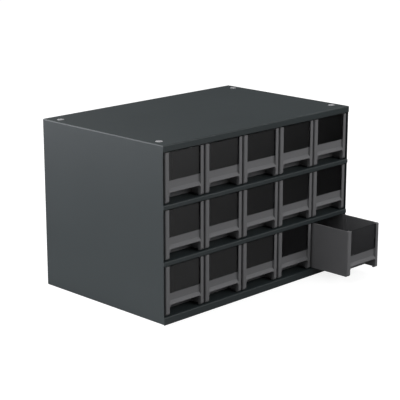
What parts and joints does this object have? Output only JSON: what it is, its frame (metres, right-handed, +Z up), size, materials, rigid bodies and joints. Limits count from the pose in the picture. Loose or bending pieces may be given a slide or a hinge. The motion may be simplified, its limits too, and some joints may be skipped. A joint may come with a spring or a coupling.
{
  "type": "parts bin cabinet",
  "caption": "Sheet-steel parts cabinet with rows of sliding moulded bins, each with a clear front window, a pull lip and a rear stop tab.",
  "frame": {"origin": "centre of the cabinet's underside on the ground, at the middle of the shell's own width and depth", "axes": "+Z up, -Y out of the drawer fronts, +X to the right as seen from the front"},
  "size_m": [0.4318, 0.355, 0.2804],
  "materials": {
    "cabinet_steel": "fine-textured charcoal powder coat",
    "guide_steel": "thin charcoal powder coat, rubbed on the edges",
    "drawer_plastic": "moulded grey styrene, fine matt texture",
    "window_plastic": "glossy smoke-clear styrene",
    "plug_zinc": "satin light grey nylon"
  },
  "bodies": {
    "cabinet": {"outer_wrapper": "cabinet_steel", "back_panel": "cabinet_steel", "floor_shelf": "cabinet_steel", "lower_shelf": "cabinet_steel", "upper_shelf": "cabinet_steel", "guide_r1_1": "guide_steel", "guide_r1_2": "guide_steel", "guide_r1_3": "guide_steel", "guide_r1_4": "guide_steel", "guide_r1_5": "guide_steel", "guide_r1_6": "guide_steel", "guide_r2_1": "guide_steel", "guide_r2_2": "guide_steel", "guide_r2_3": "guide_steel", "guide_r2_4": "guide_steel", "guide_r2_5": "guide_steel", "guide_r2_6": "guide_steel", "guide_r3_1": "guide_steel", "guide_r3_2": "guide_steel", "guide_r3_3": "guide_steel", "guide_r3_4": "guide_steel", "guide_r3_5": "guide_steel", "guide_r3_6": "guide_steel", "top_plugs": "plug_zinc"},
    "drawer_r1c1": {"tray_r1c1": "drawer_plastic", "window_r1c1": "window_plastic"},
    "drawer_r1c2": {"tray_r1c2": "drawer_plastic", "window_r1c2": "window_plastic"},
    "drawer_r1c3": {"tray_r1c3": "drawer_plastic", "window_r1c3": "window_plastic"},
    "drawer_r1c4": {"tray_r1c4": "drawer_plastic", "window_r1c4": "window_plastic"},
    "drawer_r1c5": {"tray_r1c5": "drawer_plastic", "window_r1c5": "window_plastic"},
    "drawer_r2c1": {"tray_r2c1": "drawer_plastic", "window_r2c1": "window_plastic"},
    "drawer_r2c2": {"tray_r2c2": "drawer_plastic", "window_r2c2": "window_plastic"},
    "drawer_r2c3": {"tray_r2c3": "drawer_plastic", "window_r2c3": "window_plastic"},
    "drawer_r2c4": {"tray_r2c4": "drawer_plastic", "window_r2c4": "window_plastic"},
    "drawer_r2c5": {"tray_r2c5": "drawer_plastic", "window_r2c5": "window_plastic"},
    "drawer_r3c1": {"tray_r3c1": "drawer_plastic", "window_r3c1": "window_plastic"},
    "drawer_r3c2": {"tray_r3c2": "drawer_plastic", "window_r3c2": "window_plastic"},
    "drawer_r3c3": {"tray_r3c3": "drawer_plastic", "window_r3c3": "window_plastic"},
    "drawer_r3c4": {"tray_r3c4": "drawer_plastic", "window_r3c4": "window_plastic"},
    "drawer_r3c5": {"tray_r3c5": "drawer_plastic", "window_r3c5": "window_plastic"}
  },
  "joints": [
    {"name": "drawer_r1c1_slide", "type": "slide", "parent": "cabinet", "child": "drawer_r1c1", "axis": [0, -1, 0], "range_m": [0, 0.2644]},
    {"name": "drawer_r1c2_slide", "type": "slide", "parent": "cabinet", "child": "drawer_r1c2", "axis": [0, -1, 0], "range_m": [0, 0.2644]},
    {"name": "drawer_r1c3_slide", "type": "slide", "parent": "cabinet", "child": "drawer_r1c3", "axis": [0, -1, 0], "range_m": [0, 0.2644]},
    {"name": "drawer_r1c4_slide", "type": "slide", "parent": "cabinet", "child": "drawer_r1c4", "axis": [0, -1, 0], "range_m": [0, 0.2644]},
    {"name": "drawer_r1c5_slide", "type": "slide", "parent": "cabinet", "child": "drawer_r1c5", "axis": [0, -1, 0], "range_m": [0, 0.2644]},
    {"name": "drawer_r2c1_slide", "type": "slide", "parent": "cabinet", "child": "drawer_r2c1", "axis": [0, -1, 0], "range_m": [0, 0.2644]},
    {"name": "drawer_r2c2_slide", "type": "slide", "parent": "cabinet", "child": "drawer_r2c2", "axis": [0, -1, 0], "range_m": [0, 0.2644]},
    {"name": "drawer_r2c3_slide", "type": "slide", "parent": "cabinet", "child": "drawer_r2c3", "axis": [0, -1, 0], "range_m": [0, 0.2644]},
    {"name": "drawer_r2c4_slide", "type": "slide", "parent": "cabinet", "child": "drawer_r2c4", "axis": [0, -1, 0], "range_m": [0, 0.2644]},
    {"name": "drawer_r2c5_slide", "type": "slide", "parent": "cabinet", "child": "drawer_r2c5", "axis": [0, -1, 0], "range_m": [0, 0.2644]},
    {"name": "drawer_r3c1_slide", "type": "slide", "parent": "cabinet", "child": "drawer_r3c1", "axis": [0, -1, 0], "range_m": [0, 0.2644]},
    {"name": "drawer_r3c2_slide", "type": "slide", "parent": "cabinet", "child": "drawer_r3c2", "axis": [0, -1, 0], "range_m": [0, 0.2644]},
    {"name": "drawer_r3c3_slide", "type": "slide", "parent": "cabinet", "child": "drawer_r3c3", "axis": [0, -1, 0], "range_m": [0, 0.2644]},
    {"name": "drawer_r3c4_slide", "type": "slide", "parent": "cabinet", "child": "drawer_r3c4", "axis": [0, -1, 0], "range_m": [0, 0.2644]},
    {"name": "drawer_r3c5_slide", "type": "slide", "parent": "cabinet", "child": "drawer_r3c5", "axis": [0, -1, 0], "range_m": [-0.0762, 0.1882]}
  ]
}
